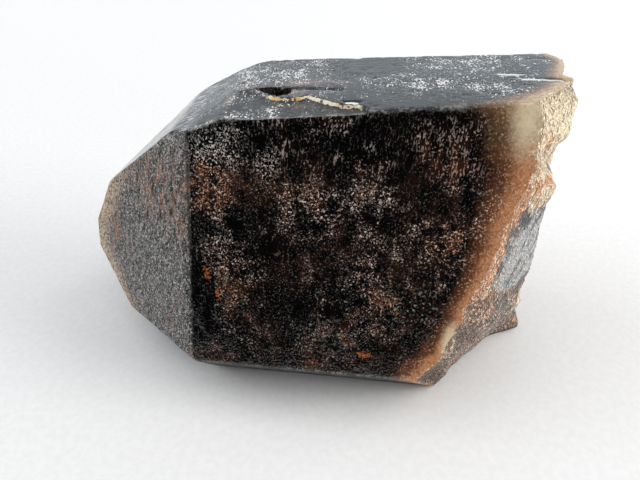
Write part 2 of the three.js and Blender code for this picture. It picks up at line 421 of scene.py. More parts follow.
def line_gap(paths, x, v):
    """v minus the v of a path at the same x, moved away from 0 by OVERRUN times how far x is past
    the path's ends. Where no path is within LINE_REACH, it is FAR."""
    gap = np.full(x.shape, FAR)
    for path in paths:
        along, across = zip(*path)
        past = np.maximum(0, np.maximum(along[0] - x, x - along[-1]))
        own = v - np.interp(x, along, across)
        own = own + np.sign(own) * OVERRUN * past
        gap = np.where(np.abs(own) < LINE_REACH, own, gap)
    return gap


def face_frame(face, x, y, z):
    """Height over a prism face's plane, and v across it towards a falling turn."""
    normal = heading(face.turn)
    height = normal[0] * (y - AXIS_Y) + normal[1] * (z - AXIS_Z) - face.reach - face.taper * x
    v = normal[1] * (y - AXIS_Y) - normal[0] * (z - AXIS_Z)
    return height, v


def recessed(x, y, z):
    """Drops what stands over a recess's floor onto it, along the face's normal. The floor is
    depth * smooth(distance inside / WALL + 1/2) below the face."""
    for recess in RECESSES:
        normal = heading(recess.face.turn)
        height, v = face_frame(recess.face, x, y, z)
        inside = -path_gap(recess.outline, x, v, True)
        depth = recess.depth * smooth((x - recess.fade[0]) / (recess.fade[1] - recess.fade[0]))
        drop = np.maximum(height + depth * smooth(inside / WALL + 0.5), 0)
        y, z = y - drop * normal[0], z - drop * normal[1]
    height, v = face_frame(TOP, x, y, z)
    for path in CRACKS:
        groove = CRACK_DEPTH * bump(line_gap((path,), x, v), 0, CRACK_WIDTH)
        z = z - np.where(height > -CRACK_SKIN, groove, 0)
    return y, z


def skin_depth(x, y, z, sizes):
    """How far the skin lies below the worn planes, in mm: slow waves, growth steps across the c
    axis on the prism, etch pits, and the grooves past the shoulder."""
    points = np.stack([x, y, z], axis=-1)
    waves = 0.5 + 0.5 * noise(points, *WAVES)
    waves = waves + RIPPLE_SHARE * (1 + noise(points, *RIPPLES))
    steps = np.abs(noise(points / np.array([1, GROWTH_STRETCH, GROWTH_STRETCH]), *GROWTH))
    steps = steps * smooth(0.5 + noise(points, *GROWTH_AREAS))
    steps = steps * smooth((x - GROWTH_START) / GROWTH_FADE)
    pits = np.maximum(0, noise(points, *PITS) - PIT_LEVEL)
    pits = pits * smooth(PIT_SPREAD + PIT_CONTRAST * noise(points, *PIT_AREAS))
    depth = sizes.waviness * waves + sizes.growth_steps * steps + sizes.etch_pits * pits
    depth = depth / MM
    front = smooth((GROOVES_BEFORE - y) / 2)
    for groove in GROOVES:
        edge = smooth((z - groove.low) / GROOVE_FADE) * smooth((groove.high - z) / GROOVE_FADE)
        depth = depth + groove.depth * bump(x, groove.x, groove.width / 2) * edge * front
    return depth


def side_surface(sides, shares, x, sizes):
    """(y, z) of the finished side surface at stations x, and how worn it is: 1 at an edge between
    two faces, where the averaged normal is shortest, and 0 on the flats."""
    y, z = section_points(sides, shares, x)
    points = np.stack([x, y, z], axis=-1)
    nicks = np.maximum(0, noise(points, *NICKS) - NICK_LEVEL)
    uneven = 1 + UNEVEN_WEAR * noise(points, *WEAR) + NICK_WEAR * nicks
    near_tip = TIP_WEAR + (1 - TIP_WEAR) * smooth(x / TIP_LENGTH)
    wear = np.maximum(LEAST_WEAR, sizes.edge_wear / MM * uneven * near_tip)
    y, z, grad_y, grad_z = wear_inwards(x, y, z, wear)
    depth = skin_depth(x, y, z, sizes) * smooth((x - TIP_X) / 2)
    length = np.hypot(grad_y, grad_z)
    y, z = y - depth * grad_y / length, z - depth * grad_z / length
    y, z = recessed(x, y, z)
    return y, np.maximum(z, 0), smooth((1 - length) / CORNER_SHORTFALL)


# ------------------------------------------------------------------------------------------
# The ring of points round the faces

def ring_columns():
    """Which side each column of the ring lies on, and its share of the way across it, with the
    columns crowded towards the corners: share = t - crowding * sin(2 pi t) / (2 pi)."""
    sides = np.concatenate([np.full(face.columns, i) for i, face in enumerate(PRISM)])
    t = np.concatenate([np.arange(face.columns) / face.columns for face in PRISM])
    return sides, t - CORNER_CROWDING * np.sin(math.tau * t) / math.tau


def last_ring(sides, shares, sizes):
    """The ring where the sides meet the break: x = break_at(side surface at x), by repetition."""
    x = np.full((1, len(sides)), RING_START)
    for _ in range(RING_REPEATS):
        y, z, _ = side_surface(sides, shares, x, sizes)
        x = (1 - RING_PACE) * x + RING_PACE * break_at(y, z)
    return x


def thickness(sides, x, y, z):
    """Rough thickness of the crystal under each point: the least depth below the planes that
    face the other way from the point's own side."""
    least = np.full(x.shape, MOST_THICK)
    for index, face in enumerate(PRISM):
        columns = sides == index
        own = heading(face.turn)
        for other in PRISM:
            normal = heading(other.turn)
            if own @ normal < OPPOSITE:
                here = x[:, columns]
                depth = reach_of(other, here) - normal[0] * (y[:, columns] - AXIS_Y)
                depth = depth - normal[1] * (z[:, columns] - AXIS_Z)
                least[:, columns] = np.minimum(least[:, columns], depth)
    return least


# ------------------------------------------------------------------------------------------
# Masks: what the finish reads at each point

# Patches of the finish: middle along, middle up, reach along, reach up, strength. On the front
# they lie in x and z.
RUST_PATCHES = (
    (27.5, 31.0, 4.0, 2.6, 1.0), (31.5, 31.6, 3.0, 2.0, 1.0), (36.0, 32.0, 5.0, 2.0, 0.6),
    (42.0, 33.0, 3.0, 3.0, 0.45), (22.5, 28.5, 2.6, 4.0, 0.8), (40.5, 24.0, 5.0, 3.5, 0.5),
    (60.0, 28.0, 4.0, 6.0, 0.6), (47.0, 27.0, 4.0, 3.0, 0.45), (52.0, 13.0, 5.0, 2.0, 0.5),
    (57.0, 35.0, 5.0, 3.0, 0.45), (32.0, 19.5, 3.0, 1.6, 0.8), (33.5, 15.5, 1.8, 1.4, 0.8),
    (61.5, 20.0, 2.5, 5.0, 0.5), (37.0, 13.0, 2.0, 3.0, 0.5), (29.0, 9.5, 4.0, 1.5, 0.7),
    (54.5, 23.5, 4.0, 2.5, 0.5), (6.0, 17.0, 3.0, 3.0, 0.7), (19.5, 28.5, 5.0, 3.5, 1.0),
    (44.0, 10.5, 1.6, 1.4, 0.9), (66.0, 24.0, 2.0, 8.0, 0.6), (60.0, 22.0, 9.0, 14.0, 0.45),
)
SPOTS = (
    (27.8, 21.1, 0.55, 0.95, 1.0), (29.4, 18.5, 0.3, 0.85, 1.0), (51.4, 12.3, 1.2, 0.5, 0.9),
    (44.2, 10.6, 0.9, 0.35, 0.6), (25.0, 30.6, 0.8, 0.4, 0.6),
)
LICHEN = ((57.8, 18.8, 3.2, 2.6, 1.0), (30.2, 21.3, 0.9, 0.8, 0.8), (46.0, 14.5, 3.5, 1.6, 0.5))
BARE_PATCHES = (  # smooth and black
    (32.5, 27.5, 2.4, 1.5, 1.0), (36.6, 24.8, 2.2, 2.7, 1.0), (40.0, 17.8, 2.9, 2.0, 1.0),
    (28.0, 16.0, 1.1, 2.4, 1.0), (26.4, 20.0, 0.8, 6.5, 0.9), (34.9, 36.2, 1.6, 1.9, 1.0),
    (49.0, 36.5, 4.5, 1.6, 0.7), (46.5, 17.5, 3.5, 2.2, 0.8), (43.5, 27.5, 2.6, 1.6, 0.7),
    (28.4, 25.5, 0.6, 3.5, 0.9), (51.0, 29.5, 3.0, 2.0, 0.7), (58.5, 24.0, 2.5, 1.5, 0.6),
    (55.0, 13.5, 3.0, 1.5, 0.7), (35.0, 13.0, 2.5, 1.4, 0.7), (31.5, 22.5, 1.6, 1.2, 0.8),
)
FRONT_FROST = (
    (28.8, 35.2, 4.2, 2.6, 1.0), (36.0, 34.4, 2.0, 2.6, 0.8), (31.0, 37.5, 3.0, 1.2, 0.6),
)
# Pale glow patches: painted highlights, pale where the thin quartz is lit through.
PALE_GLOW_PATCHES = (
    (63.3, 15.0, 1.3, 2.6, 1.3), (67.8, 41.0, 2.2, 4.0, 1.0), (73.0, 38.0, 2.2, 5.0, 1.0),
    (61.0, 10.6, 0.9, 0.8, 0.8),
)
# On the top they lie in x and v.
FROST_PATCHES = (
    (41.5, 12.0, 2.6, 4.5, 1.2), (36.0, 8.5, 5.5, 4.0, 0.9), (30.0, 8.0, 3.2, 6.0, 0.9),
    (35.8, -4.5, 1.2, 2.6, 0.9), (33.0, -6.5, 4.0, 1.6, 0.5), (57.0, 3.5, 7.0, 2.4, 0.8),
    (64.0, 1.5, 3.2, 1.6, 1.0), (51.0, 4.5, 5.0, 2.0, 0.7), (63.0, 10.5, 6.0, 3.2, 0.8),
    (55.0, 12.0, 4.0, 2.5, 0.5), (66.5, -1.2, 2.2, 1.2, 0.9),
)
TOP_RUST = (
    (39.5, 5.0, 3.5, 1.2, 1.0), (29.3, 1.0, 0.7, 3.4, 0.9), (38.8, 1.2, 2.2, 0.9, 1.0),
    (43.5, 4.6, 1.6, 0.9, 0.6), (33.0, 3.9, 2.0, 0.5, 0.9), (39.5, -2.6, 1.2, 0.8, 0.6),
)
TOP_BARE = ((47.5, 11.5, 5.5, 4.0, 1.0), (54.0, -4.0, 6.0, 2.2, 0.7), (44.5, -7.0, 3.0, 2.0, 0.8))
# On the break they lie in y and z.
# Hollows of the break: painted shade, darker where they lie in shadow.
SHADED_HOLLOWS = (
    (14.4, 29.0, 1.3, 1.7, 1.0), (11.6, 26.2, 0.9, 2.0, 1.0), (10.6, 23.2, 0.6, 2.2, 0.9),
    (12.6, 13.6, 1.6, 2.6, 1.0), (12.8, 27.8, 1.2, 1.2, 0.9), (20.5, 33.6, 0.8, 1.6, 0.7),
    (9.0, 8.5, 1.6, 1.2, 0.7),
)
# Glows of the break: painted highlights, pale where it is lit or lit through from behind.
GLOWS = (
    (17.0, 10.5, 1.0, 4.5, 1.0), (3.9, 13.5, 0.5, 3.0, 0.75), (8.6, 19.5, 0.8, 1.6, 0.8),
    (19.5, 40.5, 6.0, 4.5, 0.9), (10.0, 28.6, 0.7, 3.0, 0.8),
)

# The grey facet of the break, in y and z. Its grey is a painted reflection of the bright
# surroundings in the smooth fracture.
GREY_FACET = (
    (19.0, 29.5), (16.5, 29.0), (14.2, 28.8), (12.0, 27.6), (10.6, 24.5), (10.0, 20.5),
    (11.0, 18.0), (13.8, 16.5), (16.5, 16.0), (18.6, 19.0),
)
FACET_FADE = 3.0

# How far the amber band reaches in from the break: against height on the front and on the two
# faces below it, against v on the top, and elsewhere.
BAND_ON_FRONT = ((0, 2.0), (8, 4.2), (12, 4.6), (15, 2.8), (20, 2.6), (25, 3.3), (30, 4.0),
                 (34, 5.0), (42, 7.2))
BAND_ON_TOP = ((-9, 12.0), (-6, 9.5), (-2, 5.0), (3, 2.4), (12, 1.4))
BAND_ELSEWHERE = 3.5

MOST_THICK = 40.0
OPPOSITE = -0.4  # planes whose normals have less than this as their product face each other
TOP_SKIN = 2.6  # mm below the top's plane that belong to its recesses
FRESH_FROM, FRESH_TO, FRESH_ABOVE = 34.4, 47.8, -4.7  # the fresh wall of the terrace, in x and v
FRESH_FADES = (0.6, 0.4, 0.5)  # how softly it ends there
FACE_FADE, TIP_FADE = 0.4, 0.3  # half widths, along x, of the change from a prism face to the tip
DEEP_SHARE = 0.6  # of the large facets' height, from low to high

# The masks: those that are 0 on the break, those that are FAR on it, and those that are 0 on the
# sides.
SIDE_MASKS = ("worn", "top", "sliver", "tip_face", "lip", "rust", "bare", "frost", "spot",
              "lichen", "pale", "fresh")
GAP_MASKS = ("thick", "terrace", "quad", "cleft", "split", "crack")
BREAK_MASKS = ("facet_reflection", "hollow", "deep", "glow")
MASKS = ("rim", "band", *SIDE_MASKS, *GAP_MASKS, *BREAK_MASKS)


def patches(table, x, up):
    """Greatest of the patches' round hills at (x, up): strength * exp(-d^2), where d is the
    distance from the middle in units of the patch's reach."""
    hills = []
    for middle, height, along, tall, strength in table:
        hills.append(strength * bump(np.hypot((x - middle) / along, (up - height) / tall), 0, 1))
    return np.max(hills, axis=0)


def on_side(sides, face, like):
    """1 on a prism face's columns and 0 on the others."""
    return np.broadcast_to(sides == PRISM.index(face), like.shape).astype(float)


def side_masks(sides, x, y, z, end_x):
    """What the finish reads on the sides, as one value for each point. rim is the distance to the
    break, band the same in units of the amber band's reach, and the gap masks are distances to
    outlines and lines in the top, negative inside an outline."""
    top, front = on_side(sides, TOP, x), on_side(sides, UPPER_FRONT, x)
    lip = on_side(sides, LOWER_FRONT, x)
    height, v = face_frame(TOP, x, y, z)
    band = np.where(front + lip + on_side(sides, BASE, x) > 0,
                    np.interp(z, *zip(*BAND_ON_FRONT)), BAND_ELSEWHERE)
    band = np.where(top > 0, np.interp(v, *zip(*BAND_ON_TOP)), band)
    fresh = smooth((x - FRESH_FROM) / FRESH_FADES[0]) * smooth((FRESH_TO - x) / FRESH_FADES[1])
    gaps = {
        "terrace": path_gap(TOP_TERRACE.outline, x, v, True),
        "quad": path_gap(BRIGHT_QUAD, x, v, True),
        "cleft": path_gap(TOP_CLEFT.outline, x, v, True),
        "split": line_gap(SPLITS, x, v),
        "crack": np.minimum(np.abs(line_gap(CRACKS, x, v)), path_gap(STEP, x, v, False)),
    }
    masks = {
        "rim": end_x - x,
        "band": (end_x - x) / band,
        "thick": thickness(sides, x, y, z),
        "top": top * smooth((x - TOP.shoulder + FACE_FADE) / (2 * FACE_FADE)),
        "sliver": top * smooth((TOP.shoulder + FACE_FADE - x) / (2 * FACE_FADE)),
        "tip_face": front * smooth((UPPER_FRONT.shoulder + TIP_FADE - x) / (2 * TIP_FADE)),
        "lip": lip,
        "rust": np.maximum(patches(RUST_PATCHES, x, z) * front, patches(TOP_RUST, x, v) * top),
        "bare": np.maximum(patches(BARE_PATCHES, x, z) * front, patches(TOP_BARE, x, v) * top),
        "frost": np.maximum(patches(FROST_PATCHES, x, v) * top, patches(FRONT_FROST, x, z) * front),
        "spot": patches(SPOTS, x, z) * front,
        "lichen": patches(LICHEN, x, z) * front,
        "pale": patches(PALE_GLOW_PATCHES, x, z) * front,
        "fresh": fresh * smooth((v - FRESH_ABOVE) / FRESH_FADES[2]),
    }
    for name, gap in gaps.items():
        masks[name] = np.where(height > -TOP_SKIN, gap, FAR)
    for name in BREAK_MASKS:
        masks[name] = np.zeros(x.shape)
    return masks


def cap_masks(x, y, z, inset):
    """What the finish reads on the break: rim and band are minus the distance in from its edge,
    facet_reflection is 1 in the grey facet, where a reflection is painted, and deep is 1 where the
    large facets lie lowest."""
    masks = {name: np.zeros(x.shape) for name in SIDE_MASKS}
    for name in GAP_MASKS:
        masks[name] = np.full(x.shape, FAR)
    masks["rim"] = masks["band"] = -inset
    masks["facet_reflection"] = smooth(0.5 - path_gap(GREY_FACET, y, z, True) / FACET_FADE)
    masks["hollow"] = patches(SHADED_HOLLOWS, y, z)
    masks["glow"] = patches(GLOWS, y, z)
    masks["deep"] = smooth(0.5 - DEEP_SHARE * hackle(y, z))
    return masks


# ------------------------------------------------------------------------------------------
# The mesh

def grid_faces(rows, columns, first, wrap_row):
    """Quads between neighbouring rows of a wrapped grid whose rows follow each other. Row 0's
    vertices start at first, and wrap_row gives the vertices of the row before it, if any."""
    ring = np.arange(columns)
    body = first + np.arange(rows)[:, None] * columns + ring[None]
    if wrap_row is not None:
        body = np.vstack([wrap_row[None], body])
    after = np.roll(body, -1, axis=1)
    quads = np.stack([body[:-1], after[:-1], after[1:], body[1:]], axis=-1)
    return quads.reshape(-1, 4)


def fan_faces(ring, middle, outwards):
    """Triangles from a ring to one middle vertex."""
    after = np.roll(ring, -1)
    middles = np.full(len(ring), middle)
    return np.stack([ring, after, middles] if outwards else [after, ring, middles], axis=-1)


def crystal_arrays(sizes):
    """Vertices in millimetres of the growth frame, quads, triangles and masks."""
    sides, shares = ring_columns()
    end_x = last_ring(sides, shares, sizes)
    near = np.concatenate([np.linspace(a, b, n, endpoint=False) for a, b, n in STATIONS])
    fan = np.linspace(0, 1, FAN_STATIONS)[:, None]
    x = np.vstack([np.tile(near[:, None], (1, len(sides))), FAN_X + (end_x - FAN_X) * fan])
    y, z, worn = side_surface(sides, shares, x, sizes)
    masks = {"worn": worn, **side_masks(sides, x, y, z, end_x)}

    ring_y, ring_z = y[-1], z[-1]
    inwards = (1 - np.arange(1, CAP_ROWS) / CAP_ROWS)[:, None]
    cap_y = CAP_MIDDLE[0] + (ring_y - CAP_MIDDLE[0]) * inwards
    cap_z = CAP_MIDDLE[1] + (ring_z - CAP_MIDDLE[1]) * inwards
    cap_x = break_at(cap_y, cap_z)
    inset = (1 - inwards) * np.hypot(ring_y - CAP_MIDDLE[0], ring_z - CAP_MIDDLE[1])
    on_break = cap_masks(cap_x, cap_y, cap_z, inset)

    tip = np.array([[x[0].mean(), y[0].mean(), z[0].mean()]])
    middle_x = break_at(np.array([CAP_MIDDLE[0]]), np.array([CAP_MIDDLE[1]]))
    middle = np.array([[middle_x[0], *CAP_MIDDLE]])
    side_points = np.stack([x, y, z], axis=-1).reshape(-1, 3)
    cap_points = np.stack([cap_x, cap_y, cap_z], axis=-1).reshape(-1, 3)
    points = np.vstack([side_points, cap_points, tip, middle])

    columns = len(sides)
    last = len(side_points) - columns + np.arange(columns)
    quads = np.vstack([
        grid_faces(x.shape[0], columns, 0, None),
        grid_faces(cap_x.shape[0], columns, len(side_points), last),
    ])
    tip_index, middle_index = len(points) - 2, len(points) - 1
    inner = len(side_points) + len(cap_points) - columns + np.arange(columns)
    triangles = np.vstack([
        fan_faces(np.arange(columns), tip_index, False),
        fan_faces(inner, middle_index, True),
    ])
    values = {}
    for name, side_mask in masks.items():
        cap_mask = on_break[name]
        ends = [side_mask[0].mean(), cap_mask[-1].mean()]
        values[name] = np.concatenate([side_mask.ravel(), cap_mask.ravel(), ends])
    return points, quads, triangles, values


def place(points):
    """From millimetres of the growth frame to metres of the model's frame."""
    origin = np.array([BOX_LOW.x, BOX_LOW.y, BOX_LOW.z])
    return origin + (points - np.array([RIDGE_X, FRONT_Y, 0])) * MM


def mesh_object(name, points, quads, triangles, values):
    """A mesh object from arrays, with one float attribute for each mask."""
    mesh = bpy.data.meshes.new(name)
    mesh.vertices.add(len(points))
    mesh.vertices.foreach_set("co", points.astype(np.float32).ravel())
    corners = np.concatenate([quads.ravel(), triangles.ravel()]).astype(np.int32)
    totals = np.concatenate([np.full(len(quads), 4), np.full(len(triangles), 3)]).astype(np.int32)
    starts = np.concatenate([[0], np.cumsum(totals)[:-1]]).astype(np.int32)
    mesh.loops.add(len(corners))
    mesh.loops.foreach_set("vertex_index", corners)
    mesh.polygons.add(len(totals))
    mesh.polygons.foreach_set("loop_start", starts)
    mesh.polygons.foreach_set("use_smooth", np.ones(len(totals), bool))
    mesh.update(calc_edges=True)
    for key, data in values.items():
        attribute = mesh.attributes.new(key, "FLOAT", "POINT")
        attribute.data.foreach_set("value", data.astype(np.float32))
    piece = bpy.data.objects.new(name, mesh)
    bpy.context.scene.collection.objects.link(piece)
    return piece


def weld(piece):
    """Joins the points that lie on each other where a side has shrunk to a corner."""
    work = bmesh.new()
    work.from_mesh(piece.data)
    bmesh.ops.remove_doubles(work, verts=work.verts, dist=WELD_DISTANCE)
    bmesh.ops.dissolve_degenerate(work, dist=SHORTEST_EDGE, edges=work.edges)
    bmesh.ops.recalc_face_normals(work, faces=work.faces)
    work.to_mesh(piece.data)
    work.free()
    piece.data.set_sharp_from_angle(angle=math.radians(SHARP_ANGLE))


# ------------------------------------------------------------------------------------------
# Finishes

MIX_SHARE, MIX_UNDER, MIX_OVER, MIX_RESULT = 0, 6, 7, 2  # a colour mix's sockets, by number


class Value:
    """A number that varies over a surface. Sums, differences, products and abs() of it are Math
    nodes of its finish."""

    def __init__(self, finish, socket):
        self.finish, self.socket = finish, socket

    def __add__(self, other):
        return self.finish.maths("ADD", self, other)

    def __sub__(self, other):
        return self.finish.maths("SUBTRACT", self, other)

    def __rsub__(self, other):
        return self.finish.maths("SUBTRACT", other, self)

    def __mul__(self, other):
        return self.finish.maths("MULTIPLY", self, other)

    def __abs__(self):
        return self.finish.maths("ABSOLUTE", self)

    def held(self):
        """The same value, held between 0 and 1."""
        self.socket.node.use_clamp = True
        return self

    def steps(self, low, high):
        """0 below low, 1 above high and smooth between; falls instead if low is the greater."""
        inputs = {"Value": self, "From Min": min(low, high), "From Max": max(low, high),
                  "To Min": float(low > high), "To Max": float(low < high)}
        node = self.finish.node("ShaderNodeMapRange", inputs, interpolation_type="SMOOTHSTEP")
        return Value(self.finish, node.outputs["Result"])


class Finish:
    """A material's node tree, with short ways to add the nodes that it is made of."""

    def __init__(self, name):
        self.material = bpy.data.materials.new(name)
        self.material.use_nodes = True
        self.tree = self.material.node_tree
        self.tree.nodes.clear()

    def node(self, kind, inputs=(), **settings):
        """Adds a node. Its inputs are values, sockets to link, or plain numbers to set."""
        node = self.tree.nodes.new(kind)
        for key, setting in settings.items():
            setattr(node, key, setting)
        for key, value in dict(inputs).items():
            value = getattr(value, "socket", value)
            if isinstance(value, bpy.types.NodeSocket):
                self.tree.links.new(value, node.inputs[key])
            else:
                node.inputs[key].default_value = value
        return node

    def maths(self, operation, *values):
        node = self.node("ShaderNodeMath", enumerate(values), operation=operation)
        return Value(self, node.outputs[0])

    def most(self, first, second):
        return self.maths("MAXIMUM", first, second)

    def least(self, first, second):
        return self.maths("MINIMUM", first, second)

    def mask(self, name):
        return Value(self, self.node("ShaderNodeAttribute", attribute_name=name).outputs["Fac"])

    def here(self):
        return self.node("ShaderNodeTexCoord").outputs["Object"]

    def mapped(self, vector, **inputs):
        return self.node("ShaderNodeMapping", {"Vector": vector, **inputs}).outputs["Vector"]

    def grain(self, vector, scale, detail, roughness):
        inputs = {"Vector": vector, "Scale": scale, "Detail": detail, "Roughness": roughness}
        return Value(self, self.node("ShaderNodeTexNoise", inputs).outputs["Fac"])

    def mix(self, share, under, over):
        """The colour under, with a share of the colour over laid on it."""
        inputs = {MIX_SHARE: share, MIX_UNDER: under, MIX_OVER: over}
        return self.node("ShaderNodeMix", inputs, data_type="RGBA").outputs[MIX_RESULT]

    def surface(self, inputs):
        """Ends the tree with the shader and gives the material."""
        shader = self.node("ShaderNodeBsdfPrincipled", inputs)
        self.node("ShaderNodeOutputMaterial", {"Surface": shader.outputs["BSDF"]})
        return self.material


# ------------------------------------------------------------------------------------------
# The crystal's finish. In its functions f is the finish, s holds the values at the surface by
# name, c the colours, and body is the colour so far.

# Noises over the surface: grains in a mm, detail and roughness, then any stretch along X, Y and Z
# and any turn before it, in degrees.
Grain = namedtuple("Grain", "scale detail roughness stretch turn", defaults=(None, None))
GRAINS = {
    "clouds": Grain(0.12, 3, 0.55),
    "veins": Grain(0.33, 4, 0.7),
    "shreds": Grain(0.4, 5, 0.75),
    "blots": Grain(0.5, 4, 0.65),
    "soil": Grain(0.6, 3, 0.6),
    "hills": Grain(0.7, 1.5, 0.6),
    "gaps": Grain(0.9, 2, 0.6),
    "crumbs": Grain(1.2, 3, 0.6),
    "threads": Grain(1.6, 1.5, 0.6),
    "chaff": Grain(2.2, 1, 0.6),
    "beads": Grain(2.2, 0, 0.5),
    "pits": Grain(2.6, 1, 0.5),
    "curls": Grain(2.8, 1, 0.5),
    "dust": Grain(3.9, 0.5, 0.5),
    "dashes": Grain(2.9, 1, 0.5, (1.5, 0.38, 0.38)),
    "grit": Grain(4.0, 2.5, 0.6, (1, 0.5, 1)),
    "haze": Grain(2.2, 1.5, 0.6, (1, 0.5, 1)),
    "streaks": Grain(2.2, 3, 0.7, (0.06, 1, 1), (0, 38.2, -8)),
    "smears": Grain(1.3, 4, 0.65, (0.15, 1, 0.18), (33, 0, 0)),
}

# Heights in mm between which something comes in, or goes if the first is the greater.
DASHES_COME = (31.5, 35.0)
COVER_COMES = (8.0, 28.0)
OLIVE_COMES = (35.0, 39.5)
UNEVEN_GOES = (18.0, 12.0)
WARM_GOES = (38.0, 32.0)
# BACKLIT_TOP_COMES: the top of the break turns pale, a painted glow of light coming through from
# behind.
BACKLIT_TOP_COMES = (37.0, 41.0)
EARTH_GOES = (26.0, 19.0)
# LIP_GOES: at its foot, next to the floor, the break takes the underside's near-black colour.
LIP_GOES = (1.6, 0.9)
TIP_RELIEF_COMES = (14.0, 28.0)
TIP_LEAN_MIDDLE = 22.0
RELIEF_HEIGHT = 0.00035  # metres for 1 unit of the fine relief
QUARTZ_IOR = 1.544


def read_surface(f):
    """The crystal's masks and noises by name, and high, the height over the floor in mm."""
    mm = f.mapped(f.here(), Scale=(1 / MM, 1 / MM, 1 / MM))
    height = f.node("ShaderNodeSeparateXYZ", {"Vector": mm}).outputs["Z"]
    s = SimpleNamespace(high=Value(f, height))
    for name in MASKS:
        setattr(s, name, f.mask(name))
    for name, grain in GRAINS.items():
        vector = mm
        if grain.turn:
            vector = f.mapped(vector, Rotation=[math.radians(angle) for angle in grain.turn])
        if grain.stretch:
            vector = f.mapped(vector, Scale=grain.stretch)
        setattr(s, name, f.grain(vector, grain.scale, grain.detail, grain.roughness))
    s.ragged = s.blots * 1.2 - 0.6
    s.olive = s.high.steps(*OLIVE_COMES)
    s.broken = s.rim.steps(0.15, -0.15)
    return s


def find_etching(f, s):
    """Where the faces are stained, calm and etched: curly marks, upright dashes near the top edge,
    fine threads at the tip, and bright grains."""
    s.face = 1 - f.most(s.top, s.lip)
    s.stain = ((s.rust * 1.1 + s.clouds.steps(0.48, 0.7) * 0.8) * s.blots.steps(0.38, 0.58)).held()
    s.calm = s.bare * 0.9 + (s.pits * 0.8 - 0.4) + (s.shreds - 0.5) * 4.5
    s.calm = s.calm.steps(0.45, 0.95)
    coverage = s.tip_face * 0.06 + (s.blots * 0.5 + s.pits)
    curl = abs(s.curls - 0.5).steps(0.06, 0.025) * coverage.steps(0.66, 0.86)
    dash = s.dashes.steps(0.56, 0.63) * coverage.steps(0.62, 0.8)
    dashed = s.high.steps(*DASHES_COME) * s.tip_face.steps(1, 0) * s.frost.steps(0.5, 0.2)
    cover = (s.clouds + s.blots * 0.8).steps(0.83, 1.05)
    # The etching thins out lower down, so the front is darker towards the bottom.
    cover = cover * (s.high.steps(*COVER_COMES) * 0.75 + 0.25)
    cover = f.most(cover, f.most(s.tip_face * 0.7, s.frost))
    cover = (cover * 0.9 + 0.1) * (1 - s.calm)
    etch = (dash * dashed + curl * (1 - dashed)) * (1 - dashed * 0.1) * (cover * s.face)
    s.threaded = abs(s.threads - 0.52).steps(0.035, 0.012)
    s.threaded = s.threaded * (s.blots * 0.6 + s.pits).steps(0.66, 0.84)
    s.etch = f.most(etch, s.threaded * s.tip_face)
    s.flecks = s.dust.steps(0.63, 0.7) * (cover * s.face) * (1 - dashed * 0.6)


def face_colour(f, s, c):
    """Black with rust in it, then etching, bright grains, beads, orange spots, and worn edges made
    paler, for wear and as a painted highlight where edges catch light.
    """
    body = f.mix(s.stain * s.face * (1 - s.bare), c.body, c.rust)
    etched = f.mix(s.frost * 0.7, c.etched, c.fleck)
    etched = f.mix(s.tip_face, etched, c.tip_etch)
    body = f.mix(s.etch, body, f.mix(s.stain, etched, c.stained_etch))
    washed = (s.rust * s.tip_face * s.blots.steps(0.4, 0.6)).held()
    body = f.mix(washed * 0.5, body, c.stained_etch)
    by_band = f.most(s.stain, s.band.steps(1.6, 0.8))
    body = f.mix(s.flecks, body, f.mix(by_band, c.fleck, c.stained_fleck))
    body = f.mix(s.beads.steps(0.68, 0.73) * s.lichen, body, c.lichen)
    spot = (s.pits * 1.6 + s.spot).steps(1.2, 1.5)
    body = f.mix(spot * s.dust.steps(0.35, 0.5), body, c.spot)
    body = f.mix(s.lip, body, c.lip)
    # Worn edges: paler for wear, and partly a painted highlight where the edges catch light.
    chalk_and_edge_highlight = s.worn * (s.pits + s.blots).steps(0.9, 1.2)
    return f.mix(chalk_and_edge_highlight * 0.7, body, c.chalk_and_edge_highlight)


def top_colour(f, s, c, body):
    """White frost and a pink tint over the top, and fine lines along the sliver by the tip."""
    spread = s.frost + s.blots.steps(0.4, 0.7) - s.bare * 1.5
    mist = (s.haze + spread * 0.1).steps(0.58, 0.66) * (s.top * 0.2)
    body = f.mix(mist, body, c.mist)
    body = f.mix(s.streaks.steps(0.49, 0.62) * s.sliver, body, c.silver)
    tint = (s.rust * s.top * s.blots.steps(0.35, 0.55)).held()
    body = f.mix(tint * 0.6, body, c.blush)
    s.flake = (s.grit + spread * 0.145).steps(0.7, 0.74) * s.top
    return f.mix(s.flake, body, c.frost)


def band_colour(f, s, c, body):
    """Amber towards the break, olive and straw higher up, tan where the crystal is thin, and
    painted highlights: a broken pale line along the break's edge and pale patches where the quartz
    is lit through.
    """
    uneven = s.high.steps(*UNEVEN_GOES) * 0.9 + 0.35
    inward = (s.pits - 0.5) * 0.5 + (s.ragged * uneven + s.band)
    kept = (1 - (s.etch + s.flecks) * 0.85).held()
    body = f.mix(inward.steps(1.25, 0.5) * kept, body, f.mix(s.olive, c.amber, c.olive))
    body = f.mix(inward.steps(0.7, 0.18), body, f.mix(s.olive, c.salmon, c.straw))
    sparks = inward.steps(1.3, 0.4) * s.dust.steps(0.57, 0.66)
    body = f.mix(sparks * 0.4, body, c.spark)
    mottle = inward.steps(1.0, 0.4) * s.curls.steps(0.46, 0.64)
    body = f.mix(mottle * kept * 0.4, body, c.amber)
    # Painted highlight: a broken pale line along the break's edge.
    crest_highlight = inward.steps(0.1, -0.05) * s.chaff.steps(0.5, 0.6)
    # Painted highlight: pale where the glow patches lie.
    pale = ((s.crumbs + s.pits) * 0.5 + s.pale).steps(0.65, 1.7)
    body = f.mix(f.most(crest_highlight, pale * 0.8) * 0.85, body, c.cream_and_highlight)
    thin = (s.ragged * 5 + s.thick).steps(7, 1.5)
    return f.mix(thin * s.pits.steps(0.3, 0.6), body, c.tan)


